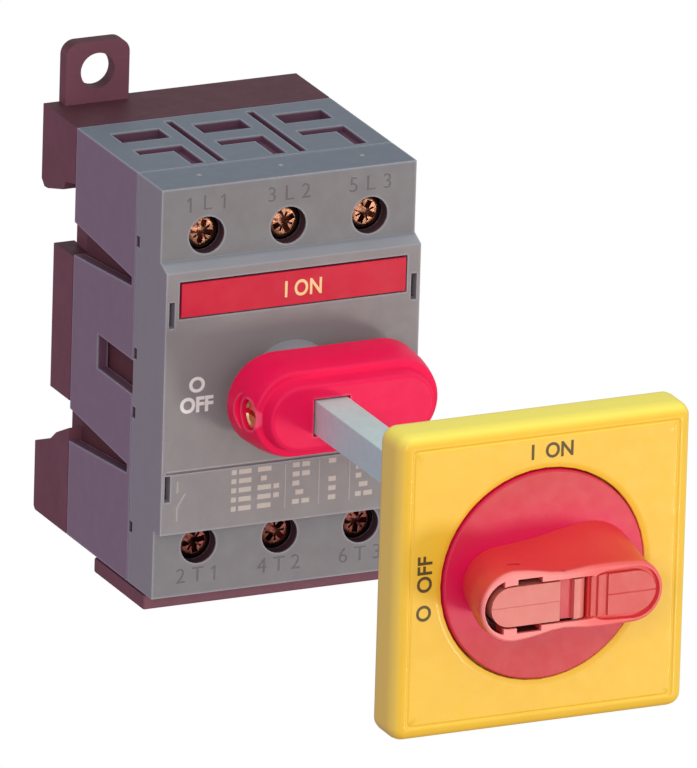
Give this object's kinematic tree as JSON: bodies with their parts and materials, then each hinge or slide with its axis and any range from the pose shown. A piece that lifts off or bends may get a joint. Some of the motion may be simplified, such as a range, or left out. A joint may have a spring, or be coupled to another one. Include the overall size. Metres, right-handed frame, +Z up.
{
  "type": "rotary isolator switch",
  "caption": "Three-pole rotary isolator switch for rail or screw mounting, with a red direct knob and a square shaft to a yellow and red door handle with a padlock tongue.",
  "frame": {"origin": "where the switching axis meets the plane of the rail seat; the wall plane behind the base is at Y = +7.7 mm", "axes": "+X to the right and +Z up, seen from the front; the front and the door handle look along -Y; the switching axis is the Y axis"},
  "size_m": [0.0528, 0.1633, 0.0936],
  "materials": {
    "grey_plastic": "moulded mid grey thermoplastic, fine texture",
    "dark_plastic": "moulded dark brown thermoset",
    "red_plastic": "satin red thermoplastic",
    "red_label": "printed red strip",
    "yellow_plastic": "satin yellow thermoplastic",
    "black_plastic": "black glass-filled thermoplastic",
    "rubber": "soft black rubber",
    "brass": "passivated, brownish in the recesses",
    "copper": "bare contact copper",
    "steel": "zinc plated",
    "shaft_steel": "drawn square bar, zinc plated"
  },
  "bodies": {
    "base": {"housing": "grey_plastic", "front_cover": "grey_plastic", "rear_base": "dark_plastic", "contact_block": "dark_plastic", "bottom_strip": "dark_plastic", "front_label": "red_label", "fixed_contact_top_1": "copper", "fixed_contact_top_2": "copper", "fixed_contact_top_3": "copper", "fixed_contact_bottom_1": "copper", "fixed_contact_bottom_2": "copper", "fixed_contact_bottom_3": "copper", "clamp_cage_top_1": "steel", "clamp_cage_top_2": "steel", "clamp_cage_top_3": "steel", "clamp_cage_bottom_1": "steel", "clamp_cage_bottom_2": "steel", "clamp_cage_bottom_3": "steel", "terminal_screw_top_1": "brass", "terminal_screw_top_2": "brass", "terminal_screw_top_3": "brass", "terminal_screw_bottom_1": "brass", "terminal_screw_bottom_2": "brass", "terminal_screw_bottom_3": "brass", "detent_spring": "steel"},
    "rotor_unit": {"rotor": "black_plastic", "direct_knob": "red_plastic", "knob_clamp_screw": "brass", "knob_clamp_nut": "brass", "extension_shaft": "shaft_steel"},
    "carriage": {"contact_carriage": "black_plastic", "moving_contact_1": "copper", "moving_contact_2": "copper", "moving_contact_3": "copper"},
    "latch_slide": {"rail_latch": "dark_plastic"},
    "door_side": {"door_plate": "yellow_plastic", "door_gasket": "rubber", "neck_nut": "black_plastic"},
    "door_handle": {"handle": "red_plastic", "shaft_socket": "black_plastic", "socket_screw": "steel", "retaining_ring": "steel", "handle_seal": "rubber", "tongue_pin": "steel"},
    "lock_tongue": {"padlock_tongue": "red_plastic"}
  },
  "joints": [
    {"name": "switch_turn", "type": "hinge", "parent": "base", "child": "rotor_unit", "pos_m": [0, -0.0423, 0], "axis": [0, 1, 0], "range_deg": [0, 90], "deforming": ["detent_spring"]},
    {"name": "contact_travel", "type": "slide", "parent": "base", "child": "carriage", "axis": [1, 0, 0], "range_m": [0, 0.0064]},
    {"name": "rail_release", "type": "slide", "parent": "base", "child": "latch_slide", "axis": [0, 0, -1], "range_m": [0, 0.003], "stiffness_N_per_m": 1200, "springref_m": -0.002},
    {"name": "door_travel", "type": "slide", "parent": "base", "child": "door_side", "axis": [0, -1, 0], "range_m": [0, 0.016]},
    {"name": "handle_turn", "type": "hinge", "parent": "door_side", "child": "door_handle", "pos_m": [0, -0.1427, 0], "axis": [0, 1, 0], "range_deg": [0, 90]},
    {"name": "tongue_swing", "type": "hinge", "parent": "door_handle", "child": "lock_tongue", "pos_m": [0.0004, -0.1539, 0], "axis": [0, 0, 1], "range_deg": [0, 30]}
  ],
  "couplings": [
    {"joint": "contact_travel", "follows": "switch_turn", "m_per_rad": 0.004},
    {"joint": "handle_turn", "follows": "switch_turn", "ratio": 1}
  ]
}
